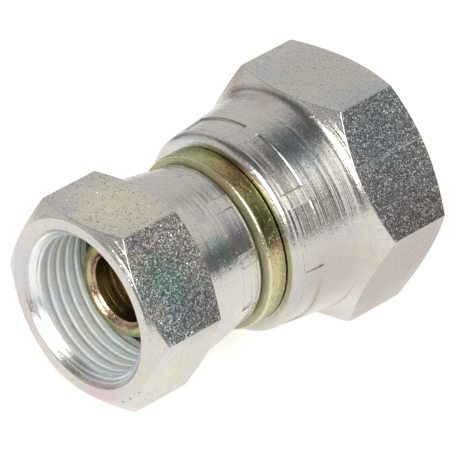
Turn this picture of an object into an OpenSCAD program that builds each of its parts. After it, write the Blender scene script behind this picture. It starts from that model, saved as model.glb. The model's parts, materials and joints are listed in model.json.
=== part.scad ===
/* [Small nut] */
// Width across the flats of the small nut's hexagon
small_af = 22; // [21.4:0.1:26]
// Length of the small nut's hexagon, from its front face to the root of its skirt
small_hex_len = 9.85; // [8.6:0.05:14]
// Diameter of the circle where the small hexagon's front chamfer starts
small_face_d = 21.4; // [20:0.1:21.4]
// Length of the small nut's skirt, from its root to its crimped end
small_skirt_len = 8; // [7:0.05:12]
// Diameter of the small nut's skirt at its root
small_skirt_d = 21.5; // [20.6:0.1:21.9]
// Diameter of the small nut's skirt at its crimped end
small_crimp_d = 19; // [18.6:0.1:20.2]
// Radius of the fillet between the small nut's hexagon and its skirt
small_fillet_r = 0.8; // [0.4:0.1:2]
// Radius of the round edge at the end of the small nut's skirt
small_edge_r = 0.2; // [0.1:0.05:0.8]
// Diameter across the crests of the small nut's thread
small_thread_d = 16.1; // [15:0.05:16.3]
// Length of the small nut's full thread, measured from its front face
small_thread_len = 4.9; // [3:0.1:5]
// Diameter of the bore behind the small nut's full thread
small_runout_d = 16.6; // [16.4:0.1:17]
// Diameter of the lead-in chamfer at the small nut's mouth
small_mouth_d = 18.9; // [17:0.1:20]

/* [Large nut] */
// Width across the flats of the large nut's hexagon
large_af = 27; // [26.8:0.1:32]
// Length of the large nut's hexagon, from its front face to the root of its skirt
large_hex_len = 10.55; // [9:0.05:15]
// Diameter of the circle where the large hexagon's front chamfer starts
large_face_d = 26.8; // [25:0.1:26.8]
// Length of the large nut's skirt, from its root to its crimped end
large_skirt_len = 9.9; // [9:0.05:14]
// Diameter of the large nut's skirt at its root
large_skirt_d = 25.8; // [25.2:0.1:26.8]
// Diameter of the large nut's skirt at its crimped end
large_crimp_d = 23.6; // [23.3:0.1:24.8]
// Radius of the fillet between the large nut's hexagon and its skirt
large_fillet_r = 1.6; // [0.8:0.1:3]
// Radius of the round edge at the end of the large nut's skirt
large_edge_r = 1; // [0.5:0.1:1.6]
// Diameter across the crests of the large nut's thread
large_thread_d = 20.3; // [19:0.05:20.5]
// Length of the large nut's full thread, measured from its front face
large_thread_len = 5.1; // [3:0.1:5.2]
// Diameter of the bore behind the large nut's full thread
large_runout_d = 20.8; // [20.6:0.1:21]
// Diameter of the lead-in chamfer at the large nut's mouth
large_mouth_d = 22.8; // [21:0.1:24.5]

/* [Body] */
// Diameter of the bore at the small end
small_bore_d = 8; // [5:0.1:8.8]
// Diameter of the bore at the large end
large_bore_d = 12; // [9:0.1:12.6]
// Length of the small bore, from the small nose's tip to the step
small_bore_len = 14; // [10:0.1:15]
// Diameter of the small cone nose at its tip
small_tip_d = 10.7; // [10.2:0.1:12]
// Diameter of the large cone nose at its tip
large_tip_d = 14.6; // [14.2:0.1:16]
// Distance of the small nose's tip behind the small nut's front face
small_tip_depth = 5.2; // [5.1:0.1:6]
// Distance of the large nose's tip behind the large nut's front face
large_tip_depth = 5.4; // [5.3:0.1:6.4]
// Diameter of the small stem behind its cone
small_stem_d = 13.9; // [13:0.1:14.2]
// Diameter of the large stem behind its cone
large_stem_d = 17.5; // [16.8:0.1:17.8]
// Diameter of the small head, which the crimp holds
small_head_d = 17.1; // [17:0.1:17.3]
// Diameter of the large head, which the crimp holds
large_head_d = 21.2; // [21:0.1:21.4]
// Length of the small head's cylinder
small_head_len = 2.6; // [2:0.1:3.2]
// Length of the large head's cylinder
large_head_len = 3.2; // [2:0.1:3.8]
// Diameter of the small neck
small_neck_d = 14.7; // [14:0.1:15.2]
// Diameter of the large neck
large_neck_d = 18.2; // [17.4:0.1:18.8]
// Diameter of the collar between the nuts
collar_d = 20.8; // [19.4:0.1:22]
// Length of the collar
collar_len = 2.35; // [2:0.05:6]
// Chamfer on the collar's edge beside the small nut
collar_chamfer = 0.15; // [0.05:0.05:0.8]

/* [Crimp marks] */
// Number of die marks round the small skirt
small_marks = 9; // [6:1:10]
// Number of die marks round the large skirt
large_marks = 8; // [6:1:9]
// Angle that one die mark of the small skirt takes up
small_mark_angle = 31; // [20:1:34]
// Angle that one die mark of the large skirt takes up
large_mark_angle = 37; // [20:1:38]
// Length of a die mark of the small skirt
small_mark_len = 2.7; // [1:0.1:3]
// Length of a die mark of the large skirt
large_mark_len = 2.8; // [1:0.1:3.6]
// Depth of a die mark at its edge nearest the hexagon
mark_depth = 0.18; // [0.05:0.01:0.3]

/* [Clearances] */
// Radial clearance between a head and the nut that turns on it
turning_gap = 0.1; // [0.05:0.01:0.15]
// Radial clearance between a neck and the crimped lip round it
lip_gap = 0.25; // [0.15:0.05:0.4]
// Play along the axis between a head's shoulder and the crimped lip behind it
nut_play = 0.4; // [0.2:0.05:0.6]
// Gap between the small nut's skirt and the collar
small_end_gap = 0.5; // [0.1:0.05:1]
// Gap between the large nut's skirt and the collar
large_end_gap = 0.15; // [0.1:0.05:0.8]

/* [Hidden] */
$fn = 96;

steel = [0.77, 0.76, 0.73];
yellow_zinc = [0.63, 0.60, 0.30];

// Angle between a hexagon's chamfers and its front face.
chamfer_angle = 30;
// The noses are cones of 60 degrees, the shoulders behind the heads cones of 90 degrees.
nose_half_angle = 30;
// Chamfers of the bore's two mouths, of the heads' front edges and of the noses' tips.
bore_chamfer = 0.65;
head_chamfer = 0.4;
tip_chamfer = 0.12;
// Half the drill's point angle, which the step inside the bore keeps.
drill_half_angle = 59;
// A die mark's depth at its other edge, and its place: the distance from the skirt's end.
mark_end_depth = 0.06;
small_mark_end = small_edge_r + 0.15;
large_mark_end = large_edge_r + 0.2;
small_mark_turn = 35;
large_mark_turn = 15;
// Distance from a skirt's end to the inner edge of the lip's shoulder.
small_lip_len = 3.2;
large_lip_len = 3.9;
// Cutters and overlapping stretches run past the surfaces by this much.
over = 1;

// Places along the axis, which starts at the small nut's front face.
small_len = small_hex_len + small_skirt_len;
large_len = large_hex_len + large_skirt_len;
collar_from = small_len + small_end_gap;
collar_to = collar_from + collar_len;
total_len = collar_to + large_end_gap + large_len;

// Radii of the counterbores that the heads turn in, and of the crimped lips.
small_seat_r = small_head_d / 2 + turning_gap;
large_seat_r = large_head_d / 2 + turning_gap;
small_lip_r = small_neck_d / 2 + lip_gap;
large_lip_r = large_neck_d / 2 + lip_gap;

// The fitting lies on one flat of each hexagon. The nearest points of the flats to the surface are
// the front end of the small flat and the rear end of the large one, halfway across each.
small_touch = (small_af - small_face_d) / 2 * tan(chamfer_angle);
large_touch = total_len - large_hex_len + (large_af - large_skirt_d) / 2 * tan(chamfer_angle);
tilt = atan((large_af - small_af) / 2 / (large_touch - small_touch));
lift = small_af / 2 * cos(tilt) - small_touch * sin(tilt);
// The two front faces reach furthest along the surface, and the origin lies midway between them.
small_reach = -small_face_d / 2 * sin(tilt);
large_reach = total_len * cos(tilt) + large_face_d / 2 * sin(tilt);
shift = -(small_reach + large_reach) / 2;

// Points of an arc round a centre, from one angle to another.
function arc(centre, radius, from, to, steps = 8) =
    [for (i = [0:steps])
        let (angle = from + (to - from) * i / steps)
        centre + radius * [cos(angle), sin(angle)]];

// Turns the axis from upright to its place at rest on a flat surface.
module at_rest() {
    translate([shift, 0, lift])
        rotate([0, 90 - tilt, 0])
            children();
}

// The outside of a nut: a hexagonal bar, turned to a cone at its front edge and, behind the
// hexagon, to a rear cone, a fillet, a tapering skirt and a round edge at the skirt's end. The
// fillet touches the cone and the taper, and the round edge touches the taper and the end.
module blank(af, face_d, hex_len, len, skirt_d, crimp_d, fillet_r, edge_r) {
    corner_r = af / 2 / cos(30);
    outer_r = corner_r + over;
    root_r = skirt_d / 2;
    slope = tan(chamfer_angle);
    taper = atan((skirt_d - crimp_d) / 2 / (len - hex_len));
    reach = fillet_r * tan((90 - chamfer_angle - taper) / 2);
    fillet_at = [
        root_r - reach * sin(taper) + fillet_r * cos(taper),
        hex_len + reach * cos(taper) + fillet_r * sin(taper)
    ];
    edge_at = [crimp_d / 2 - edge_r * tan((90 - taper) / 2), len - edge_r];
    intersection() {
        rotate(30)
            cylinder(r = corner_r, h = len, $fn = 6);
        rotate_extrude()
            polygon(concat(
                [[0, 0], [face_d / 2, 0]],
                [[outer_r, (outer_r - face_d / 2) * slope]],
                [[outer_r, hex_len - (outer_r - root_r) * slope]],
                arc(fillet_at, fillet_r, 270 - chamfer_angle, 180 + taper),
                arc(edge_at, edge_r, taper, 90),
                [[0, len]]
            ));
    }
}

// The inside of a nut, from its mouth to its skirt's end: lead-in chamfer, thread at its crests,
// run-out, counterbore for the head, and the lip that the crimp folds behind it.
module nut_bore(mouth_d, thread_d, thread_len, runout_d, hex_len, seat_r, lip_r, lip_len, len) {
    mouth_r = mouth_d / 2;
    thread_r = thread_d / 2;
    runout_r = runout_d / 2;
    seat_from = hex_len - over;
    lip_from = len - lip_len;
    rotate_extrude()
        polygon([
            [0, -over],
            [mouth_r + over, -over],
            [thread_r, mouth_r - thread_r],
            [thread_r, thread_len],
            [runout_r, thread_len],
            [runout_r, seat_from - (seat_r - runout_r)],
            [seat_r, seat_from],
            [seat_r, lip_from - (seat_r - lip_r)],
            [lip_r, lip_from],
            [lip_r, len + over],
            [0, len + over]
        ]);
}

// Shallow marks that the segments of the crimping die leave round a skirt.
module die_marks(count, angle, turn, from, to, from_r, to_r) {
    for (i = [0:count - 1])
        rotate(turn - angle / 2 + i * 360 / count)
            rotate_extrude(angle = angle)
                polygon([
                    [from_r - mark_depth, from],
                    [from_r + over, from],
                    [to_r + over, to],
                    [to_r - mark_end_depth, to]
                ]);
}

// Radius of a skirt's taper at a distance from its end.
function skirt_r(distance, len, root_d, end_d) =
    (end_d + (root_d - end_d) * distance / len) / 2;

// One swivel nut, with its front face at zero and its skirt's end at its full length.
module swivel_nut(af, face_d, hex_len, skirt_len, skirt_d, crimp_d, fillet_r, edge_r, mouth_d,
        thread_d, thread_len, runout_d, seat_r, lip_r, lip_len, marks, mark_angle, mark_turn,
        mark_len, mark_end) {
    len = hex_len + skirt_len;
    difference() {
        blank(af, face_d, hex_len, len, skirt_d, crimp_d, fillet_r, edge_r);
        nut_bore(mouth_d, thread_d, thread_len, runout_d, hex_len, seat_r, lip_r, lip_len, len);
        die_marks(marks, mark_angle, mark_turn, len - mark_end - mark_len, len - mark_end,
            skirt_r(mark_end + mark_len, skirt_len, skirt_d, crimp_d),
            skirt_r(mark_end, skirt_len, skirt_d, crimp_d));
    }
}

module small_nut() {
    color(steel)
        at_rest()
            swivel_nut(small_af, small_face_d, small_hex_len, small_skirt_len, small_skirt_d,
                small_crimp_d, small_fillet_r, small_edge_r, small_mouth_d, small_thread_d,
                small_thread_len, small_runout_d, small_seat_r, small_lip_r, small_lip_len,
                small_marks, small_mark_angle, small_mark_turn, small_mark_len, small_mark_end);
}

module large_nut() {
    color(steel)
        at_rest()
            translate([0, 0, total_len])
                rotate([180, 0, 0])
                    swivel_nut(large_af, large_face_d, large_hex_len, large_skirt_len,
                        large_skirt_d, large_crimp_d, large_fillet_r, large_edge_r,
                        large_mouth_d, large_thread_d, large_thread_len, large_runout_d,
                        large_seat_r, large_lip_r, large_lip_len, large_marks,
                        large_mark_angle, large_mark_turn, large_mark_len, large_mark_end);
}

// Outline of one end of the body, from its nose's tip to its neck, as radii and distances from the
// nut's front face: chamfered bore mouth, tip, cone, stem, head and the shoulder behind it.
function stem_outline(bore_d, tip_d, tip_depth, stem_d, head_d, head_len, neck_d, lip_from) =
    let (
        cone_end = tip_depth + (stem_d - tip_d) / 2 / tan(nose_half_angle),
        shoulder_to = lip_from + lip_gap - nut_play,
        shoulder_from = shoulder_to - (head_d - neck_d) / 2,
        head_from = shoulder_from - head_len
    )
    [
        [bore_d / 2 + bore_chamfer, tip_depth],
        [tip_d / 2 - tip_chamfer, tip_depth],
        [tip_d / 2 + tip_chamfer * tan(nose_half_angle), tip_depth + tip_chamfer],
        [stem_d / 2, cone_end],
        [stem_d / 2, head_from],
        [head_d / 2 - head_chamfer, head_from],
        [head_d / 2, head_from + head_chamfer],
        [head_d / 2, shoulder_from],
        [neck_d / 2, shoulder_to]
    ];

// Carries an outline measured from the large nut's front face over to the axis, in reverse order.
function from_far_end(points) =
    [for (i = [len(points) - 1:-1:0]) [points[i][0], total_len - points[i][1]]];

module body() {
    small_tip = small_tip_depth;
    large_tip = total_len - large_tip_depth;
    step_from = small_tip + small_bore_len;
    step_to = step_from + (large_bore_d - small_bore_d) / 2 / tan(drill_half_angle);
    outline = concat(
        [[small_bore_d / 2, small_tip + bore_chamfer]],
        stem_outline(small_bore_d, small_tip_d, small_tip_depth, small_stem_d, small_head_d,
            small_head_len, small_neck_d, small_len - small_lip_len),
        [[small_neck_d / 2, collar_from]],
        [[collar_d / 2 - collar_chamfer, collar_from]],
        [[collar_d / 2, collar_from + collar_chamfer]],
        [[collar_d / 2, collar_to]],
        [[large_neck_d / 2, collar_to]],
        from_far_end(stem_outline(large_bore_d, large_tip_d, large_tip_depth, large_stem_d,
            large_head_d, large_head_len, large_neck_d, large_len - large_lip_len)),
        [[large_bore_d / 2, large_tip - bore_chamfer]],
        [[large_bore_d / 2, step_to]],
        [[small_bore_d / 2, step_from]]
    );
    color(yellow_zinc)
        at_rest()
            rotate_extrude()
                polygon(outline);
}

body();
small_nut();
large_nut();
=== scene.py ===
"""A pipe union with a swivel nut at each end: its dressed pieces, their finishes and the studio.

Sizes are in millimetres. A place on a turned piece is x along the fitting's axis, from the small
nut's front face, r square to the axis, and theta round it, from the top towards the viewer's side.
placed() carries such places to metres in the part's own frame.
"""

import json
import math
from types import SimpleNamespace

import bmesh
import bpy
import numpy as np
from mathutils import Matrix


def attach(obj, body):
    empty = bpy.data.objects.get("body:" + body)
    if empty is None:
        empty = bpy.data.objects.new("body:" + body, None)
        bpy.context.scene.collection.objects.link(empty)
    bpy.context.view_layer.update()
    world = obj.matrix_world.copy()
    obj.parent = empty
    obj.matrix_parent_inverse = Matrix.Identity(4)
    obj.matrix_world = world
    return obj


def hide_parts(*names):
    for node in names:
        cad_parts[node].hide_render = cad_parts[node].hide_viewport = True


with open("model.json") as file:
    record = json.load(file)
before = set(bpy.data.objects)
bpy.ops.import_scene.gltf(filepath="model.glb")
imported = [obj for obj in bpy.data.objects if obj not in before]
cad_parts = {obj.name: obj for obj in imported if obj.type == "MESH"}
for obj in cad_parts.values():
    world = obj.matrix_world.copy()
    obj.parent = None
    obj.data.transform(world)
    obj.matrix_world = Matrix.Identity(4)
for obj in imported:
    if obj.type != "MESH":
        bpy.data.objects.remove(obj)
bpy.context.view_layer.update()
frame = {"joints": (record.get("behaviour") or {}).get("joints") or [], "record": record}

MM = 0.001
FULL_TURN = 2 * math.pi


def mount(name):
    """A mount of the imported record, by its name."""
    return next(m for m in frame["record"]["mounts"] if m["name"] == name)


# The small nut and the large nut. The threads are 19 and 14 to the inch. Their crests are cut short,
# so they are broad flats between narrow grooves of a 55 degree form.
small = SimpleNamespace(
    af=22, hex_len=9.85, face_d=21.4, skirt_len=8, skirt_d=21.5, crimp_d=19, fillet_r=0.8, edge_r=0.2,
    mouth_d=18.9, crest_d=16.1, root_d=16.66, pitch=1.337, groove_at=3.60 - 1.337 * 211 / 360,
    crest_to=7.2, runout_d=16.6, seat_d=17.3, lip_d=15.2, lip_len=3.2,
    marks=9, mark_angle=31, mark_turn=13.5, mark_len=2.7, mark_end=0.35,
    line_flat=60, line_across=-4.8, line_width=0.09, line_depth=0.02)
large = SimpleNamespace(
    af=27, hex_len=10.55, face_d=26.8, skirt_len=9.9, skirt_d=25.8, crimp_d=23.6, fillet_r=1.6, edge_r=1,
    mouth_d=22.8, crest_d=20.3, root_d=20.96, pitch=1.814, groove_at=0.4,
    crest_to=7.5, runout_d=20.8, seat_d=21.4, lip_d=18.7, lip_len=3.9,
    marks=8, mark_angle=37, mark_turn=-30, mark_len=2.8, mark_end=1.2,
    line_flat=-60, line_across=1.3, line_width=0.15, line_depth=0.05)

# What both nuts share: the chamfers' angle and the die marks' depths at their front and rear edges.
CHAMFER = math.radians(30)
MARK_DEPTH = 0.18
MARK_END_DEPTH = 0.06
MARK_WALL = 0.05
BURR_HEIGHT = 0.014
BURR_WIDTH = 0.05
# Radius of the worn edges between two flats, and how far the other edges are blunted.
CORNER_R = 0.1
BLUNT = 0.06
# The mouth's chamfer is cut in two passes, which leave a fine step.
MOUTH_STEP = 0.5
STEP_DEPTH = 0.05
# The groove's width at the crests as a share of the pitch, and its flanks' slope.
GROOVE_SHARE = 0.36
FLANK = math.tan(math.radians(27.5))
SMALL_END_GAP = 0.5
LARGE_END_GAP = 0.15

# The body between the nuts.
body = SimpleNamespace(
    small_bore_d=8, large_bore_d=12, small_bore_len=14, small_tip_depth=5.2, large_tip_depth=5.4,
    small_tip_d=10.7, large_tip_d=14.6, small_stem_d=13.9, large_stem_d=17.5,
    small_head_d=17.1, large_head_d=21.2, small_head_len=2.6, large_head_len=3.2,
    small_neck_d=14.7, large_neck_d=18.2, collar_d=20.8, collar_len=2.35, collar_chamfer=0.15,
    bore_chamfer=0.65, head_chamfer=0.4, tip_chamfer=0.12, nut_play=0.4, lip_gap=0.25,
    nose_half_angle=math.radians(30), drill_half_angle=math.radians(59))

for nut in (small, large):
    nut.length = nut.hex_len + nut.skirt_len
    nut.taper = math.atan((nut.skirt_d - nut.crimp_d) / 2 / nut.skirt_len)
    nut.mouth_depth = (nut.mouth_d - nut.crest_d) / 2
collar_from = small.length + SMALL_END_GAP
collar_to = collar_from + body.collar_len
total_len = collar_to + LARGE_END_GAP + large.length

# The axis runs as the joints' axes do. The small thread's mount lies where the mouth's chamfer ends.
axis = np.array(frame["joints"][0]["axis"], float)
up = np.array([-axis[2], 0, axis[0]])
side = np.array([0, -1, 0])
start = np.array(mount("small_thread")["pos_m"]) - axis * small.mouth_depth * MM
TILT = math.atan2(axis[2], axis[0])


def placed(x, r, theta):
    """Points in the part's frame: start + x * axis + r * (cos(theta) * up + sin(theta) * side)."""
    x, r, theta = np.broadcast_arrays(x, r, theta)
    radial = np.cos(theta)[..., None] * up + np.sin(theta)[..., None] * side
    return start + MM * (x[..., None] * axis + r[..., None] * radial)


def turned_round(x, r, theta):
    """placed() for the large nut, whose own front face is the far one: a half turn about up, which
    takes x to total_len - x and theta to -theta."""
    return placed(total_len - x, r, -theta)


def blunted(corners, count, steps=3):
    """Rows of a profile through corners (x, r, cut). Each inner corner P becomes the parabola
    (1-t)^2 A + 2t(1-t) P + t^2 B between the points A and B that lie cut before and after it, with
    one more row on each side of it that keeps its shading off the straight stretches. x and r may
    differ from column to column, and a cut takes no more than 0.4 of the shorter side."""
    points = np.array([[np.broadcast_to(c[0], count), np.broadcast_to(c[1], count)] for c in corners])
    points = points.transpose(0, 2, 1)
    cut = np.array([c[2] for c in corners[1:-1]], float)[:, None, None]
    sides = np.diff(points, axis=0)
    length = np.linalg.norm(sides, axis=-1, keepdims=True)
    unit = sides / length
    cut = np.minimum(cut, 0.4 * np.minimum(length[:-1], length[1:]))
    hold = np.minimum(cut + BLUNT, 0.45 * np.minimum(length[:-1], length[1:]))
    middle = points[1:-1]
    before, after = middle - unit[:-1] * cut, middle + unit[1:] * cut
    t = np.linspace(0, 1, steps + 1)[None, :, None, None]
    arcs = (1 - t) ** 2 * before[:, None] + 2 * t * (1 - t) * middle[:, None] + t**2 * after[:, None]
    first, last = (middle - unit[:-1] * hold)[:, None], (middle + unit[1:] * hold)[:, None]
    rows = np.concatenate([first, arcs, last], axis=1).reshape(-1, count, 2)
    rows = np.concatenate([points[:1], rows, points[-1:]])
    return rows[..., 0], rows[..., 1]


def hexagon_radius(af, theta):
    """Radius of a hexagon with round corners: af/2 / cos(angle from the flat's middle), and near a
    corner the circle of radius CORNER_R, d cos(p) + sqrt(CORNER_R^2 - d^2 sin(p)^2), where p is the
    angle from the corner and d the distance of the circle's centre."""
    sixth = FULL_TURN / 6
    from_flat = np.abs((theta + sixth / 2) % sixth - sixth / 2)
    p = sixth / 2 - from_flat
    d = (af / 2 - CORNER_R) / math.cos(sixth / 2)
    circle = d * np.cos(p) + np.sqrt(np.maximum(CORNER_R**2 - (d * np.sin(p)) ** 2, 0))
    touch = math.atan2(CORNER_R * 0.5, d + CORNER_R * math.cos(sixth / 2))
    return np.where(p < touch, circle, af / 2 / np.cos(from_flat))


def columns(nut):
    """Angles of a nut's columns: an even fan, with closer ones at the corners and the marks' sides.
    Columns of the fan that fall too near to a special one are left out."""
    fan = np.radians(np.arange(0, 360, 1.5))
    corners = np.radians(30 + 60 * np.arange(6))[:, None] + np.radians([-1, -0.45, -0.22, 0, 0.22, 0.45, 1])
    edges = np.radians(nut.mark_turn + (360 / nut.marks) * np.arange(nut.marks))[:, None, None]
    edges = edges + np.radians(nut.mark_angle / 2) * np.array([-1, 1])[:, None]
    inward = -np.array([-1, 1])[:, None] * np.array([-0.2, -0.1, -MARK_WALL, 0, MARK_WALL, 0.15])
    edges = edges + inward / (nut.crimp_d / 2)
    line = math.radians(nut.line_flat) + (nut.line_across + nut.line_width * np.linspace(-2, 2, 9)) / (nut.af / 2)
    special = np.concatenate([corners.ravel(), edges.ravel(), line])
    special = np.unique(np.round(special % FULL_TURN, 6))
    apart = np.abs((fan[:, None] - special + math.pi) % FULL_TURN - math.pi).min(axis=1)
    theta = np.unique(np.concatenate([[0], fan[apart > math.radians(0.4)], special]))
    return np.append(theta, FULL_TURN)


def drawn_line(nut, theta):
    """Depth of the one line that the drawing die scratched into a flat along the bar: a bell curve
    of the distance across the flat."""
    off = (theta - math.radians(nut.line_flat) + math.pi) % FULL_TURN - math.pi
    across = np.where(np.abs(off) < math.pi / 6, off * nut.af / 2 - nut.line_across, 9)
    return nut.line_depth * np.exp(-((across / nut.line_width) ** 2))


def mark_relief(nut, x, theta):
    """How far the crimping die moved the skirt's surface. Inside a mark it dips by a depth that
    shrinks evenly from the front edge to the rear one; the metal that the die pushed aside stands
    in a burr, a bell curve of the distance from the edge, along the front and the sides."""
    turn = FULL_TURN / nut.marks
    off = np.abs((theta - math.radians(nut.mark_turn) + turn / 2) % turn - turn / 2)
    rear = nut.length - nut.mark_end
    share = np.clip((rear - x) / nut.mark_len, 0, 1)
    inside = np.minimum((math.radians(nut.mark_angle) / 2 - off) * nut.crimp_d / 2, x - rear + nut.mark_len)
    depth = MARK_END_DEPTH + (MARK_DEPTH - MARK_END_DEPTH) * share
    dip = np.where(x <= rear, depth * np.clip(inside / MARK_WALL, 0, 1), 0)
    burr = BURR_HEIGHT * np.exp(-(((inside + BURR_WIDTH) / BURR_WIDTH) ** 2)) * np.clip(3 * share, 0, 1)
    return burr * (x <= rear + BURR_WIDTH) - dip


def fillet_centre(nut):
    """Centre (x, r) of the fillet that touches the rear chamfer and the skirt's taper."""
    reach = nut.fillet_r * math.tan((math.pi / 2 - CHAMFER - nut.taper) / 2)
    along = nut.hex_len + reach * math.cos(nut.taper)
    return (along + nut.fillet_r * math.sin(nut.taper),
            nut.skirt_d / 2 - reach * math.sin(nut.taper) + nut.fillet_r * math.cos(nut.taper))


def rear_edge(nut, hex_r):
    """Where each column's flat ends, x: on the rear chamfer's cone outside the radius at which the
    fillet touches it, and on the fillet's circle inside that radius."""
    x, r = fillet_centre(nut)
    cone = nut.hex_len - (hex_r - nut.skirt_d / 2) * math.tan(CHAMFER)
    circle = x - np.sqrt(np.maximum(nut.fillet_r**2 - (r - hex_r) ** 2, 0))
    return np.where(hex_r > r - nut.fillet_r * math.sin(CHAMFER), cone, circle)


def fillet_rows(nut, hex_r, count):
    """Rows from each flat's rear edge to the skirt, even along the path's length: down the chamfer's
    cone to the radius where the fillet touches it, and then round the fillet's circle."""
    x, r = fillet_centre(nut)
    touch = r - nut.fillet_r * math.sin(CHAMFER)
    cone_len = np.maximum(hex_r - touch, 0) / math.cos(CHAMFER)
    first = np.where(hex_r > touch, math.pi / 2 - CHAMFER, np.arccos(np.clip((r - hex_r) / nut.fillet_r, -1, 1)))
    arc_len = nut.fillet_r * (first - nut.taper)
    s = np.linspace(0, 1, count)[:, None] * (cone_len + arc_len)
    angle = first - np.maximum(s - cone_len, 0) / nut.fillet_r
    back = np.maximum(cone_len - s, 0)
    return (x - nut.fillet_r * np.sin(angle) - back * math.sin(CHAMFER),
            r - nut.fillet_r * np.cos(angle) + back * math.cos(CHAMFER))


def skirt_rows(nut, theta):
    """The taper from the root fillet to the round end edge, with rows close together at the marks'
    ends, and then the edge: an arc that touches the taper and the end face."""
    fillet_x, fillet_r = fillet_centre(nut)
    foot_x = fillet_x - nut.fillet_r * math.sin(nut.taper)
    foot_r = fillet_r - nut.fillet_r * math.cos(nut.taper)
    centre_x, centre_r = nut.length - nut.edge_r, end_centre_r(nut)
    rim_x = centre_x + nut.edge_r * math.sin(nut.taper)
    rim_r = centre_r + nut.edge_r * math.cos(nut.taper)
    rear = nut.length - nut.mark_end
    front = rear - nut.mark_len
    x = np.concatenate([
        np.linspace(foot_x, front - 0.3, 6)[1:], front + np.array([-0.2, -0.12, -BURR_WIDTH, 0, MARK_WALL]),
        np.linspace(front + 0.2, rear - 0.1, 6), rear + np.array([-0.03, 0, 0.03])])
    x = x[x < rim_x - 0.01]
    r = foot_r + (rim_r - foot_r) * (x - foot_x) / (rim_x - foot_x)
    r = r[:, None] + mark_relief(nut, x[:, None], theta[None])
    turn = np.linspace(nut.taper, math.pi / 2, 9)[:, None]
    edge_x, edge_r = centre_x + nut.edge_r * np.sin(turn), centre_r + nut.edge_r * np.cos(turn)
    return (np.concatenate([np.broadcast_to(x[:, None], r.shape), np.broadcast_to(edge_x, (9, theta.size))]),
            np.concatenate([r, np.broadcast_to(edge_r, (9, theta.size))]))


def end_centre_r(nut):
    """Radius at which the end edge's arc is centred and meets the end face."""
    return nut.crimp_d / 2 - nut.edge_r * math.tan((math.pi / 2 - nut.taper) / 2)


def thread_radius(nut, x, theta, end):
    """Wall of the threaded bore. d is the distance along the axis from the middle of the nearest
    groove, which shifts by one pitch each turn. The groove's depth is (w - |d|) / FLANK, where w is
    half its width at the crests, held softly between 0 and the full depth by the curve
    (q + sqrt(q^2 + e^2)) / 2. Behind the full thread the crests open to the run-out bore, the groove
    fades out before end, and the mouth's chamfer cuts what stands inside it."""
    d = ((x - nut.groove_at) / nut.pitch - theta / FULL_TURN + 0.5) % 1 - 0.5
    q = (GROOVE_SHARE / 2 - np.abs(d)) * nut.pitch / FLANK
    soft = 0.05
    open_depth = (q + np.sqrt(q**2 + soft**2)) / 2
    widen = np.clip((x - nut.crest_to) / 0.5, 0, 1)
    crest = nut.crest_d / 2 + (nut.runout_d - nut.crest_d) / 2 * widen
    full = nut.root_d / 2 - crest
    left = full - open_depth
    depth = full - (left + np.sqrt(left**2 + soft**2)) / 2
    fade = np.clip((end - 0.3 - x) / nut.pitch, 0, 1)
    wall = crest + np.maximum(depth, 0) * fade
    return np.maximum(wall, mouth_wall(nut, x))


def mouth_wall(nut, x):
    """Radius of the mouth's second pass at x: a straight run from the step to the crests."""
    step_r = nut.mouth_d / 2 - MOUTH_STEP - STEP_DEPTH
    return step_r - (x - MOUTH_STEP) * (step_r - nut.crest_d / 2) / (nut.mouth_depth - MOUTH_STEP)


def thread_rows(nut, theta, end):
    """Rows that follow the helix, x = groove_at + pitch * (k + d + theta / turn), close together in
    the groove and wide apart on the crest, held between the mouth and end. They run backwards along
    the axis, so that the wall faces the axis."""
    w = GROOVE_SHARE / 2
    d = np.array([-0.5, -0.36, -w - 0.035, -w - 0.01, -w + 0.02, -0.1, -0.06, 0])
    d = np.concatenate([d, -d[1:-1][::-1]])
    k = np.arange(-3, end / nut.pitch + 1)
    shift = np.sort((k[:, None] + d).ravel())[::-1]
    x = nut.groove_at + nut.pitch * (shift[:, None] + theta[None] / FULL_TURN)
    x = np.clip(x, MOUTH_STEP, end)
    return x, thread_radius(nut, x, theta[None], end)


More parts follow.
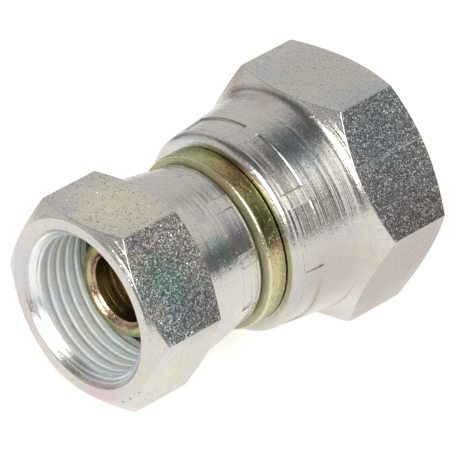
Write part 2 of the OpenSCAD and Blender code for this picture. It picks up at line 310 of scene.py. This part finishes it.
def nut_patches(nut, theta, looks):
    """The nut's closed skin as grids (x, r, look), in order: mouth step, mouth edge, front face,
    front chamfer, flats, rear chamfer, root fillet, skirt, end face, crimped lip, seat, run-out and
    thread."""
    count = theta.size
    face_r, hex_r = nut.face_d / 2, hexagon_radius(nut.af, theta) - drawn_line(nut, theta)
    front_x = (hex_r - face_r) * math.tan(CHAMFER)
    rear_x = rear_edge(nut, hex_r)
    mouth_r, seat_r, lip_r = nut.mouth_d / 2, nut.seat_d / 2, nut.lip_d / 2
    run_r = nut.runout_d / 2
    fillet_x, fillet_r = fillet_rows(nut, hex_r, 12)
    x, r = blunted([
        (MOUTH_STEP, mouth_wall(nut, MOUTH_STEP), 0), (MOUTH_STEP - 0.015, mouth_r - MOUTH_STEP, 0.01),
        (0, mouth_r, 0.08), (0, face_r, BLUNT), (front_x, hex_r, BLUNT), (rear_x, hex_r, BLUNT),
        (fillet_x[2], fillet_r[2], 0)], count)
    rows_per_corner = 6
    flat_from = 1 + 4 * rows_per_corner - 2
    flat_to = 1 + 4 * rows_per_corner + 1
    skirt_x, skirt_r = skirt_rows(nut, theta)
    x = np.concatenate([x, fillet_x[3:], skirt_x])
    r = np.concatenate([r, fillet_r[3:], skirt_r])
    seat_from = nut.hex_len - 1
    lip_from = nut.length - nut.lip_len
    end = seat_from - (seat_r - run_r) - 0.1
    inner_x, inner_r = blunted([
        (nut.length, end_centre_r(nut), 0), (nut.length, lip_r, 0.15), (lip_from, lip_r, 0.15),
        (lip_from - (seat_r - lip_r), seat_r, 0.1), (seat_from, seat_r, 0.05),
        (seat_from - (seat_r - run_r), run_r, 0.05), (end, run_r, 0)], count)
    return [
        (x[:flat_from + 1], r[:flat_from + 1], looks["turned"]),
        (x[flat_from:flat_to + 1], r[flat_from:flat_to + 1], looks["flats"]),
        (x[flat_to:], r[flat_to:], looks["turned"]),
        (inner_x, inner_r, looks["turned"]),
        (*thread_rows(nut, theta, end), looks["thread"]),
    ]


def body_patches(theta, look):
    """The body's closed skin: the outline of one stem after the other, turned about the axis."""
    b = body

    def stem(bore_d, tip_d, depth, stem_d, head_d, head_len, neck_d, lip_from):
        shoulder_to = lip_from + b.lip_gap - b.nut_play
        shoulder_from = shoulder_to - (head_d - neck_d) / 2
        head_from = shoulder_from - head_len
        cone_end = depth + (stem_d - tip_d) / 2 / math.tan(b.nose_half_angle)
        return [
            (depth, bore_d / 2 + b.bore_chamfer, 0.05), (depth, tip_d / 2, 0.15), (cone_end, stem_d / 2, 0.1),
            (head_from, stem_d / 2, 0.2), (head_from, head_d / 2 - b.head_chamfer, 0.1),
            (head_from + b.head_chamfer, head_d / 2, 0.1), (shoulder_from, head_d / 2, 0.1),
            (shoulder_to, neck_d / 2, 0.1)]

    near = stem(b.small_bore_d, b.small_tip_d, b.small_tip_depth, b.small_stem_d, b.small_head_d,
                b.small_head_len, b.small_neck_d, small.length - small.lip_len)
    far = stem(b.large_bore_d, b.large_tip_d, b.large_tip_depth, b.large_stem_d, b.large_head_d,
               b.large_head_len, b.large_neck_d, large.length - large.lip_len)
    far = [(total_len - x, r, cut) for x, r, cut in reversed(far)]
    collar_r = b.collar_d / 2
    step_from = b.small_tip_depth + b.small_bore_len
    step_to = step_from + (b.large_bore_d - b.small_bore_d) / 2 / math.tan(b.drill_half_angle)
    halfway = (b.small_tip_depth + step_from) / 2
    x, r = blunted([
        (halfway, b.small_bore_d / 2, 0),
        (b.small_tip_depth + b.bore_chamfer, b.small_bore_d / 2, 0.06), *near,
        (collar_from, b.small_neck_d / 2, 0.1), (collar_from, collar_r - b.collar_chamfer, 0.08),
        (collar_from + b.collar_chamfer, collar_r, 0.08), (collar_to, collar_r, 0.08),
        (collar_to, b.large_neck_d / 2, 0.1), *far,
        (total_len - b.large_tip_depth - b.bore_chamfer, b.large_bore_d / 2, 0.06),
        (step_to, b.large_bore_d / 2, 0.1), (step_from, b.small_bore_d / 2, 0.1),
        (halfway, b.small_bore_d / 2, 0)], theta.size)
    return [(x, r, look)]


def skin(name, patches, theta, place, looks, rides_on):
    """Makes one closed mesh of the patches. Their points are placed, every four neighbours make a
    face, and points that fall together are welded: the seams, the patches' shared rows and the rows
    that the thread's ends pile up."""
    points, faces, finish = [], [], []
    offset = 0
    for x, r, look in patches:
        rows, count = x.shape
        points.append(place(x, r, theta[None]).reshape(-1, 3))
        corner = (offset + np.arange(rows - 1)[:, None] * count + np.arange(count - 1)).ravel()
        faces.append(np.stack([corner, corner + 1, corner + count + 1, corner + count], axis=1))
        finish.append(np.full(len(corner), looks.index(look)))
        offset += rows * count
    points, faces, finish = np.concatenate(points), np.concatenate(faces), np.concatenate(finish)
    mesh = bpy.data.meshes.new(name)
    mesh.from_pydata(points, [], faces)
    mesh.polygons.foreach_set("material_index", finish.astype(np.int32))
    made = bmesh.new()
    made.from_mesh(mesh)
    bmesh.ops.remove_doubles(made, verts=made.verts, dist=0.002 * MM)
    bmesh.ops.dissolve_degenerate(made, edges=made.edges, dist=0.0005 * MM)
    made.to_mesh(mesh)
    made.free()
    mesh.polygons.foreach_set("use_smooth", np.ones(len(mesh.polygons), bool))
    piece = bpy.data.objects.new(name, mesh)
    bpy.context.scene.collection.objects.link(piece)
    for look in looks:
        mesh.materials.append(look)
    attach(piece, rides_on)
    return piece


# Finishes

def srgb(red, green, blue):
    """A colour as a screen shows it, 0 to 255, as the linear colour that a shader takes."""
    c = np.array([red, green, blue]) / 255
    return (*np.where(c <= 0.04045, c / 12.92, ((c + 0.055) / 1.055) ** 2.4), 1.0)


class Finish:
    """A metal's material: its shader, and places on the piece measured along and round its axis."""

    def __init__(self, name, roughness):
        self.material = bpy.data.materials.new(name)
        self.material.use_nodes = True
        self.tree = self.material.node_tree
        self.shader = self.tree.nodes["Principled BSDF"]
        self.shader.inputs["Metallic"].default_value = 1.0
        self.shader.inputs["Roughness"].default_value = roughness
        coordinates = self.node("ShaderNodeTexCoord")
        mapping = self.node("ShaderNodeMapping", coordinates.outputs["Object"], vector_type="TEXTURE")
        mapping.inputs["Location"].default_value = start
        mapping.inputs["Rotation"].default_value = (0, -TILT, 0)
        mapping.inputs["Scale"].default_value = (MM, MM, MM)
        self.place = mapping.outputs[0]
        split = self.node("ShaderNodeSeparateXYZ", self.place)
        self.x, y, z = split.outputs
        across = self.node("ShaderNodeCombineXYZ", 0.0, y, z).outputs[0]
        self.r = self.node("ShaderNodeVectorMath", across, operation="LENGTH").outputs["Value"]
        self.round = self.node("ShaderNodeVectorMath", across, operation="NORMALIZE").outputs[0]
        self.normal = self.node("ShaderNodeNewGeometry").outputs["Normal"]
        from_axis = self.vector("SUBTRACT", coordinates.outputs["Object"], start)
        hoop = self.vector("NORMALIZE", self.vector("CROSS_PRODUCT", axis, from_axis))
        self.profile = self.vector("CROSS_PRODUCT", hoop, self.normal)

    def node(self, kind, *inputs, **settings):
        """Adds a node, sets its properties, and fills or joins its first inputs in order."""
        made = self.tree.nodes.new(kind)
        for key, value in settings.items():
            setattr(made, key, value)
        for socket, value in zip(made.inputs, inputs):
            self.give(socket, value)
        return made

    def give(self, socket, value):
        if isinstance(value, bpy.types.NodeSocket):
            self.tree.links.new(value, socket)
        elif value is not None:
            socket.default_value = value

    def vector(self, operation, *inputs):
        return self.node("ShaderNodeVectorMath", *inputs, operation=operation).outputs[0]

    def times(self, vector, factor):
        made = self.node("ShaderNodeVectorMath", vector, operation="SCALE")
        self.give(made.inputs["Scale"], factor)
        return made.outputs[0]

    def grain(self, size, even, strong, share, shift=0.0):
        """Crystals of the given size in mm. Gives a vector that tilts each crystal's face, by even
        everywhere and by up to strong on the given share of them, and a random value of each."""
        at = self.vector("ADD", self.place, (shift, shift, shift))
        cells = self.node("ShaderNodeTexVoronoi", at, feature="F1")
        cells.inputs["Scale"].default_value = 1 / size
        pick = self.node("ShaderNodeTexWhiteNoise", cells.outputs["Position"]).outputs["Value"]
        way = self.vector("SUBTRACT", cells.outputs["Color"], (0.5, 0.5, 0.5))
        return self.times(way, self.ramp(pick, 1 - share, 1.0, even, strong)), pick

    def rings(self, scale, amount, detail=3.0, wander=0.5, shift=0.0):
        """Tilts the surface to and fro along its profile, by noise in the tool's rings."""
        lines = self.lathe_lines(scale, detail, wander, shift)
        return self.times(self.profile, self.sum(self.sum(lines, 0.5, "SUBTRACT"), amount, "MULTIPLY"))

    def tinted(self, colour, tints_and_painted_light):
        """Lays soft round clouds of colour over a colour: tints, and some painted shade and painted reflection.
        Each cloud is a place (x, theta in degrees, r), a radius in mm, a strength and a colour; slow noise frays
        their edges."""
        fray = self.node("ShaderNodeTexNoise", self.place)
        fray.inputs["Scale"].default_value = 0.8
        fray = self.times(self.vector("SUBTRACT", fray.outputs["Color"], (0.5, 0.5, 0.5)), 3.0)
        at = self.vector("ADD", self.place, fray)
        for x, theta, r, size, strength, tint in tints_and_painted_light:
            spot = (x, -r * math.sin(math.radians(theta)), r * math.cos(math.radians(theta)))
            away = self.node("ShaderNodeVectorMath", at, spot, operation="DISTANCE").outputs["Value"]
            colour = self.blend(self.ramp(away, 0.2 * size, 1.1 * size, strength, 0.0), colour, tint)
        return colour

    def pitted(self, colour, pits):
        """Small dark nicks in the plating, each a place (x, theta in degrees, r) and a radius."""
        for x, theta, r, size in pits:
            spot = (x, -r * math.sin(math.radians(theta)), r * math.cos(math.radians(theta)))
            away = self.node("ShaderNodeVectorMath", self.place, spot, operation="DISTANCE").outputs["Value"]
            colour = self.blend(self.ramp(away, 0.3 * size, 1.1 * size, 0.75, 0.0), colour, srgb(96, 90, 84))
        return colour

    def tilted(self, normal, *tilts):
        for tilt in tilts:
            normal = self.vector("ADD", normal, tilt)
        return self.vector("NORMALIZE", normal)

    def sum(self, a, b, operation="ADD"):
        return self.node("ShaderNodeMath", a, b, operation=operation).outputs[0]

    def ramp(self, value, low, high, to_low=0.0, to_high=1.0):
        """A value carried smoothly from the span low..high to the span to_low..to_high."""
        made = self.node("ShaderNodeMapRange", value, low, high, to_low, to_high)
        made.interpolation_type = "SMOOTHSTEP"
        return made.outputs[0]

    def blend(self, share, a, b):
        made = self.node("ShaderNodeMix", share, data_type="RGBA")
        self.give(made.inputs[6], a)
        self.give(made.inputs[7], b)
        return made.outputs[2]

    def noise(self, vector, scale, detail=2.0, rough=0.5, shift=0.0):
        if shift:
            vector = self.node("ShaderNodeVectorMath", vector, (shift, 2 * shift, 3 * shift)).outputs[0]
        made = self.node("ShaderNodeTexNoise", vector)
        made.inputs["Scale"].default_value = scale
        made.inputs["Detail"].default_value = detail
        made.inputs["Roughness"].default_value = rough
        return made.outputs["Fac"]

    def colours(self, share, *stops):
        """A run of colours along a share, each stop a place and a colour."""
        made = self.node("ShaderNodeValToRGB", share)
        ramp = made.color_ramp
        while len(ramp.elements) < len(stops):
            ramp.elements.new(0.5)
        for element, (at, colour) in zip(ramp.elements, stops):
            element.position = at
            element.color = colour
        return made.outputs[0]

    def lathe_lines(self, scale, detail=3.0, wander=0.5, shift=0.0):
        """Fine rings that a cutting tool leaves: noise that changes fast along the profile and slowly
        round the axis, so it takes x + 1.7 r, which rises or falls along every turned surface."""
        along = self.sum(self.sum(self.r, 1.7, "MULTIPLY"), self.x)
        along = self.sum(along, scale, "MULTIPLY")
        slow = self.node("ShaderNodeVectorMath", self.round, operation="SCALE")
        slow.inputs["Scale"].default_value = wander
        parts = self.node("ShaderNodeSeparateXYZ", slow.outputs[0]).outputs
        vector = self.node("ShaderNodeCombineXYZ", along, parts[1], parts[2]).outputs[0]
        return self.noise(vector, 1.0, detail, 0.6, shift)

    def bump(self, height, depth, strength=1.0, under=None):
        """Raises the surface by a height of 0 to 1 times depth, in millimetres."""
        made = self.node("ShaderNodeBump")
        made.inputs["Strength"].default_value = strength
        made.inputs["Distance"].default_value = depth * MM
        self.give(made.inputs["Height"], height)
        if under is not None:
            self.give(made.inputs["Normal"], under)
        return made.outputs[0]

    def done(self, colour, normal, roughness=None):
        self.give(self.shader.inputs["Base Color"], colour)
        self.give(self.shader.inputs["Normal"], normal)
        if roughness is not None:
            self.give(self.shader.inputs["Roughness"], roughness)
        return self.material


GREY = srgb(208, 209, 208)
NEUTRAL = srgb(213, 211, 206)
CREAM = srgb(217, 212, 201)
PINK = srgb(217, 207, 203)
TEAL = srgb(112, 174, 160)
BLUE = srgb(120, 160, 182)
STEEL = srgb(158, 176, 186)
# Painted shade: a dull grey laid on the small nut's flat near its corner on the viewer's side.
PAINTED_SHADE_GREY = srgb(140, 142, 140)
SOFT_TEAL = srgb(168, 212, 198)
PALE_STRAW = srgb(240, 231, 206)
VIOLET = srgb(140, 124, 196)
ROSE = srgb(210, 172, 184)
STRAW = srgb(212, 212, 178)
LILAC = srgb(196, 192, 212)
BROWN = srgb(190, 164, 150)
# Painted shade: a darker umber for the large nut's lower side towards the viewer.
PAINTED_SHADE_UMBER = srgb(172, 161, 152)

# Nicks in the plating: x, theta, r, radius.
SMALL_RING_PITS = [(0.2, 140.5, 10.9, 0.26), (0.2, 148.3, 10.95, 0.22), (0.2, 129.5, 10.95, 0.17), (0.2, -5.0, 10.9, 0.15)]
LARGE_FLAT_PITS = [(37.0, -5.1, 13.55, 0.13), (33.3, -2.5, 13.5, 0.1)]
# Clouds of colour laid on the metal, some of them painted shade and painted reflection: x, theta, r, radius,
# strength, colour.
SMALL_FLAT_TINTS_AND_SHADE = [
    (2.6, 34.5, 12.2, 1.3, 0.4, VIOLET), (6.3, 35.0, 12.2, 1.3, 0.35, VIOLET), (4.6, 40.0, 11.8, 1.4, 0.35, ROSE),
    (7.4, 50.0, 11.2, 1.6, 0.25, ROSE), (3.8, 56.0, 11.0, 4.2, 0.45, TEAL), (6.0, 68.0, 11.0, 3.4, 0.3, TEAL),
    (3.6, 80.0, 11.8, 3.4, 0.4, BLUE), (5.0, 4.0, 11.0, 8.0, 0.75, PALE_STRAW), (1.4, -18.0, 11.4, 2.4, 0.35, LILAC),
    # The last cloud here, dull grey, is painted shade.
    (5.0, 122.0, 11.0, 4.5, 0.35, STRAW), (7.0, 82.0, 11.4, 4.5, 0.5, PAINTED_SHADE_GREY)]
SMALL_SKIRT_TINTS = [
    (0.0, 285.0, 10.2, 4.5, 0.3, LILAC), (0.0, 250.0, 10.4, 3.5, 0.25, ROSE), (0.0, 165.0, 10.2, 4.0, 0.25, ROSE),
    (1.0, 110.0, 10.8, 3.0, 0.3, STRAW),
    (12.4, 60.0, 10.3, 2.8, 0.5, SOFT_TEAL), (12.7, 35.0, 10.3, 1.2, 0.25, VIOLET), (16.2, 52.0, 9.8, 1.6, 0.25, VIOLET),
    (17.0, 68.0, 9.7, 1.2, 0.4, ROSE), (14.0, 88.0, 10.0, 3.0, 0.3, PINK)]
# Painted reflections on the collar over the passivate's hue: a dark olive band where the metal shows the dim room, a
# lighter brown on its top and a copper highlight low on the viewer's side.
COLLAR_PAINTED_REFLECTIONS = [
    (19.6, 52.0, 10.4, 4.2, 0.7, srgb(96, 92, 50)), (19.6, 20.0, 10.4, 3.4, 0.75, srgb(190, 150, 102)),
    (19.6, 74.0, 10.4, 1.3, 0.6, srgb(206, 158, 126))]
# On the large nut the umber clouds, low on the viewer's side, are painted shade: they darken the flats and the skirt
# where the metal shows the floor in the fitting's shadow.
LARGE_FLAT_TINTS_AND_SHADE = [
    (36.0, 42.0, 13.9, 7.5, 0.6, STEEL), (36.0, 78.0, 13.9, 7.0, 0.5, STEEL), (36.0, 112.0, 13.7, 14.0, 0.95, PAINTED_SHADE_UMBER), (36.0, 0.0, 13.5, 7.0, 0.12, BROWN)]
LARGE_TURNED_TINTS_AND_SHADE = [(26.0, 104.0, 12.2, 8.0, 0.55, PAINTED_SHADE_UMBER), (27.0, 28.0, 12.4, 4.0, 0.6, STEEL), (30.4, -6.0, 13.2, 3.2, 0.5, BROWN), (31.4, -38.0, 14.6, 3.0, 0.5, BROWN)]


def zinc_colour(finish, shift):
    """Clear passivated zinc: a neutral metal with very faint grey, cream and pink clouds."""
    clouds = finish.noise(finish.place, 0.16, 2.0, 0.5, shift)
    return finish.colours(clouds, (0.3, GREY), (0.42, NEUTRAL), (0.52, CREAM), (0.62, NEUTRAL), (0.72, PINK))


def flats_finish(name, shift, strong, share, tints_and_painted_light=(), pits=()):
    """The bar's own drawn surface on the hexagon: fine crystal grain that glitters."""
    f = Finish(name, 0.25)
    tilt, pick = f.grain(0.15, 0.12, strong, share, shift)
    fine, fine_pick = f.grain(0.1, 0.2, 0.7, 0.22, shift)
    coarse = f.bump(f.noise(f.place, 1.4, 3.0, 0.6, shift), 0.012)
    colour = f.blend(f.ramp(fine_pick, 0.0, 0.4, 0.2, 0.0), zinc_colour(f, shift), srgb(120, 122, 124))
    colour = f.blend(f.ramp(pick, 0.0, 0.25, 0.12, 0.0), colour, srgb(130, 132, 134))
    return f.done(f.pitted(f.tinted(colour, tints_and_painted_light), pits), f.tilted(coarse, tilt, fine))


def turned_finish(name, shift, tints_and_painted_light=(), pits=()):
    """Turned faces, chamfers and skirts: rings from the tool under the plating."""
    f = Finish(name, 0.26)
    tilt, pick = f.grain(0.14, 0.06, 0.3, 0.2, shift)
    fine = f.rings(9.0, 0.6, 2.0, 0.8, shift)
    broad = f.rings(2.4, 0.4, 3.0, 0.8, shift + 5)
    colour = f.blend(f.ramp(pick, 0.0, 0.3, 0.25, 0.0), zinc_colour(f, shift + 3), srgb(150, 150, 150))
    return f.done(f.pitted(f.tinted(colour, tints_and_painted_light), pits), f.tilted(f.normal, fine, broad, tilt))


def thread_finish(name, shift, mouth_from, mouth_to, dull_first):
    """The thread, bluer and duller than the outside. The mouth's chamfer before it shines."""
    f = Finish(name, 0.42)
    shine = (0.08, 0.95) if dull_first else (0.95, 0.08)
    rough = (0.5, 0.3) if dull_first else (0.3, 0.5)
    f.give(f.shader.inputs["Metallic"], f.ramp(f.x, mouth_from, mouth_to, *shine))
    inside = f.ramp(f.x, mouth_from, mouth_to, *((1.0, 0.25) if dull_first else (0.25, 1.0)))
    rings = f.rings(12.0, 1.7, 3.0, 0.4, shift)
    roughness = f.ramp(f.x, mouth_from, mouth_to, *rough)
    tilt, pick = f.grain(0.15, 0.16, 0.8, 0.3, shift)
    clouds = f.noise(f.place, 0.3, 2.0, 0.5, shift)
    colour = f.colours(clouds, (0.35, srgb(234, 242, 248)), (0.5, srgb(239, 243, 245)), (0.65, srgb(240, 241, 236)))
    colour = f.blend(f.ramp(pick, 0.0, 0.3, 0.1, 0.0), colour, srgb(140, 142, 142))
    return f.done(colour, f.tilted(f.normal, rings, f.times(tilt, inside)), roughness)


def yellow_finish(name):
    """Yellow passivate on the body: olive and yellow-green on the collar and the small cone, and copper and pink on
    the small tip and round its bore.
    Low on the viewer's side it runs lighter and pinker, partly its own hue and partly a painted reflection of the
    floor, and darker olive on top as painted shade; the collar also carries painted reflections and a painted
    highlight along its front edge."""
    f = Finish(name, 0.24)
    # Partly painted reflection and painted shade: the colour runs lighter and pinker low on the viewer's side, where
    # the metal shows the floor, and darker olive on top, over slow clouds of the passivate's own hue.
    low = f.node("ShaderNodeVectorMath", f.round, (0, -0.77, -0.64), operation="DOT_PRODUCT").outputs["Value"]
    clouds = f.noise(f.place, 0.35, 3.0, 0.6)
    share = f.sum(f.sum(low, 0.25, "MULTIPLY"), clouds)
    colour = f.colours(share, (0.15, srgb(142, 146, 88)), (0.4, srgb(172, 173, 112)), (0.6, srgb(192, 192, 140)),
                       (0.8, srgb(204, 194, 152)), (1.0, srgb(204, 170, 144)))
    # Painted reflections and a painted highlight on the collar.
    colour = f.tinted(colour, COLLAR_PAINTED_REFLECTIONS)
    # Painted highlight: a pale cream line along the collar's front edge.
    edge = f.sum(f.ramp(f.x, 18.52, 18.7, 0.6, 0.0), f.ramp(f.x, 18.34, 18.36), "MULTIPLY")
    colour = f.blend(edge, colour, srgb(232, 226, 200))
    tip = f.sum(f.ramp(f.r, 4.5, 4.8, 1.0, 0.0), f.ramp(f.x, 8.0, 10.0, 1.0, 0.0), "MULTIPLY")
    copper = f.colours(clouds, (0.35, srgb(196, 156, 132)), (0.55, srgb(212, 176, 162)), (0.7, srgb(204, 180, 132)))
    colour = f.blend(f.sum(tip, 0.85, "MULTIPLY"), colour, copper)
    tilt, pick = f.grain(0.16, 0.1, 0.6, 0.25)
    colour = f.blend(f.ramp(pick, 0.0, 0.3, 0.2, 0.0), colour, srgb(110, 104, 60))
    bore = f.rings(4.0, 1.4, 2.0, 0.3, 7.0)
    rings = f.vector("ADD", f.rings(6.0, 0.35, 3.0, 0.6), f.times(bore, f.ramp(f.r, 4.3, 4.6, 1.0, 0.0)))
    face = f.sum(f.ramp(f.x, 18.345, 18.36, 1.0, 0.0), f.ramp(f.x, 17.8, 18.0), "MULTIPLY")
    f.give(f.shader.inputs["Metallic"], f.ramp(face, 0.0, 1.0, 1.0, 0.25))
    return f.done(colour, f.tilted(f.normal, rings, tilt))


# The pieces

def build_pieces():
    small_looks = {"turned": turned_finish("small_turned_zinc", 1.0, SMALL_SKIRT_TINTS, SMALL_RING_PITS),
                   "flats": flats_finish("small_drawn_zinc", 2.0, 1.3, 0.3, SMALL_FLAT_TINTS_AND_SHADE),
                   "thread": thread_finish("small_thread_zinc", 3.0, 1.2, 1.5, False)}
    large_looks = {"turned": turned_finish("large_turned_zinc", 11.0, LARGE_TURNED_TINTS_AND_SHADE),
                   "flats": flats_finish("large_drawn_zinc", 12.0, 0.9, 0.22, LARGE_FLAT_TINTS_AND_SHADE, LARGE_FLAT_PITS),
                   "thread": thread_finish("large_thread_zinc", 13.0, total_len - 1.4, total_len - 1.1, True)}
    yellow = yellow_finish("yellow_passivate")
    for nut, looks, place, node in ((small, small_looks, placed, "small_nut"), (large, large_looks, turned_round, "large_nut")):
        theta = columns(nut)
        piece = skin("swivel_" + node, nut_patches(nut, theta, looks), theta, place, list(looks.values()), node)
        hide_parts(node)
    theta = np.linspace(0, FULL_TURN, 241)
    piece = skin("union_body", body_patches(theta, yellow), theta, placed, [yellow], "body")
    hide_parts("body")


# The studio

FLOOR_HALF = 0.25
FLOOR_NEAR = 0.052
CAMERA_AIM = (0.000335, -0.000388, 0.013832)
CAMERA_DISTANCE = 0.60052
CAMERA_AZIMUTH = math.radians(-44.135)
CAMERA_ELEVATION = math.radians(28.115)
CAMERA_ROLL = math.radians(0.752)
CAMERA_LENS = 439.02


def make_camera():
    """A long lens far from the fitting, looking down on it from the small nut's side."""
    camera = bpy.data.objects.new("camera", bpy.data.cameras.new("camera"))
    bpy.context.scene.collection.objects.link(camera)
    camera.data.lens = CAMERA_LENS
    camera.data.clip_start, camera.data.clip_end = 0.01, 10
    back = np.array([math.sin(CAMERA_AZIMUTH) * math.cos(CAMERA_ELEVATION),
                     -math.cos(CAMERA_AZIMUTH) * math.cos(CAMERA_ELEVATION), math.sin(CAMERA_ELEVATION)])
    camera.location = np.array(CAMERA_AIM) + CAMERA_DISTANCE * back
    camera.rotation_euler = (math.pi / 2 - CAMERA_ELEVATION, 0, CAMERA_AZIMUTH)
    camera.rotation_mode = "QUATERNION"
    level = camera.rotation_euler.to_quaternion()
    from mathutils import Quaternion
    camera.rotation_quaternion = level @ Quaternion((0, 0, 1), CAMERA_ROLL)
    bpy.context.scene.camera = camera


def make_floor():
    """A pale floor that the camera and the metal see as white, with the fitting's shadow on it."""
    h, near = FLOOR_HALF, FLOOR_NEAR
    mesh = bpy.data.meshes.new("floor")
    mesh.from_pydata([(-near, -h, 0), (h, -h, 0), (h, h, 0), (-near, h, 0)], [], [(0, 1, 2, 3)])
    floor = bpy.data.objects.new("floor", mesh)
    floor.location = (0, 0, -0.00002)
    bpy.context.scene.collection.objects.link(floor)
    material = bpy.data.materials.new("floor")
    material.use_nodes = True
    nodes, links = material.node_tree.nodes, material.node_tree.links
    nodes.clear()
    out = nodes.new("ShaderNodeOutputMaterial")
    plain = nodes.new("ShaderNodeBsdfDiffuse")
    plain.inputs["Color"].default_value = (0.9, 0.9, 0.9, 1)
    glow = nodes.new("ShaderNodeEmission")
    add = nodes.new("ShaderNodeAddShader")
    path = nodes.new("ShaderNodeLightPath")
    strength = None
    for ray, level in (("Is Camera Ray", 0.6), ("Is Glossy Ray", 0.48), ("Is Transmission Ray", 0.48)):
        seen = nodes.new("ShaderNodeMath")
        seen.operation = "MULTIPLY_ADD"
        seen.inputs[1].default_value = level
        seen.inputs[2].default_value = 0
        links.new(path.outputs[ray], seen.inputs[0])
        if strength is not None:
            links.new(strength, seen.inputs[2])
        strength = seen.outputs[0]
    links.new(strength, glow.inputs["Strength"])
    links.new(plain.outputs[0], add.inputs[0])
    links.new(glow.outputs[0], add.inputs[1])
    links.new(add.outputs[0], out.inputs["Surface"])
    mesh.materials.append(material)


def make_room():
    """White behind the object. What lights it and what the metal shows is a dim room with a large
    soft box on the left and a paler wall behind."""
    world = bpy.data.worlds.new("room")
    bpy.context.scene.world = world
    world.use_nodes = True
    nodes, links = world.node_tree.nodes, world.node_tree.links
    nodes.clear()
    out = nodes.new("ShaderNodeOutputWorld")
    direction = nodes.new("ShaderNodeTexCoord").outputs["Generated"]
    total = None
    boxes = [((-0.85, -0.34, 0.4), 28, 10, 5.0), ((0.5, 0.68, 0.5), 50, 16, 0.58), ((-0.66, 0.74, 0.04), 40, 14, 0.6),
             ((0.08, -0.68, 0.72), 26, 14, 1.3), ((0.08, -0.96, 0.2), 24, 12, 0.9),
             ((0.8, -0.2, 0.57), 27, 12, 0.68)]
    for centre, outer, inner, level in boxes:
        unit = np.array(centre) / np.linalg.norm(centre)
        dot = nodes.new("ShaderNodeVectorMath")
        dot.operation = "DOT_PRODUCT"
        links.new(direction, dot.inputs[0])
        dot.inputs[1].default_value = unit
        span = nodes.new("ShaderNodeMapRange")
        span.interpolation_type = "SMOOTHSTEP"
        span.inputs["From Min"].default_value = math.cos(math.radians(outer))
        span.inputs["From Max"].default_value = math.cos(math.radians(inner))
        span.inputs["To Max"].default_value = level
        links.new(dot.outputs["Value"], span.inputs["Value"])
        if total is None:
            total = span.outputs[0]
            continue
        plus = nodes.new("ShaderNodeMath")
        links.new(total, plus.inputs[0])
        links.new(span.outputs[0], plus.inputs[1])
        total = plus.outputs[0]
    base = nodes.new("ShaderNodeMath")
    base.inputs[1].default_value = 0.11
    links.new(total, base.inputs[0])
    room = nodes.new("ShaderNodeBackground")
    links.new(base.outputs[0], room.inputs["Strength"])
    white = nodes.new("ShaderNodeBackground")
    white.inputs["Color"].default_value = (1, 1, 1, 1)
    path = nodes.new("ShaderNodeLightPath")
    mix = nodes.new("ShaderNodeMixShader")
    links.new(path.outputs["Is Camera Ray"], mix.inputs[0])
    room.inputs["Color"].default_value = (1, 1, 1, 1)
    links.new(room.outputs[0], mix.inputs[1])
    links.new(white.outputs[0], mix.inputs[2])
    links.new(mix.outputs[0], out.inputs["Surface"])


build_pieces()
make_camera()
make_floor()
make_room()
bpy.context.scene.view_settings.view_transform = "Standard"
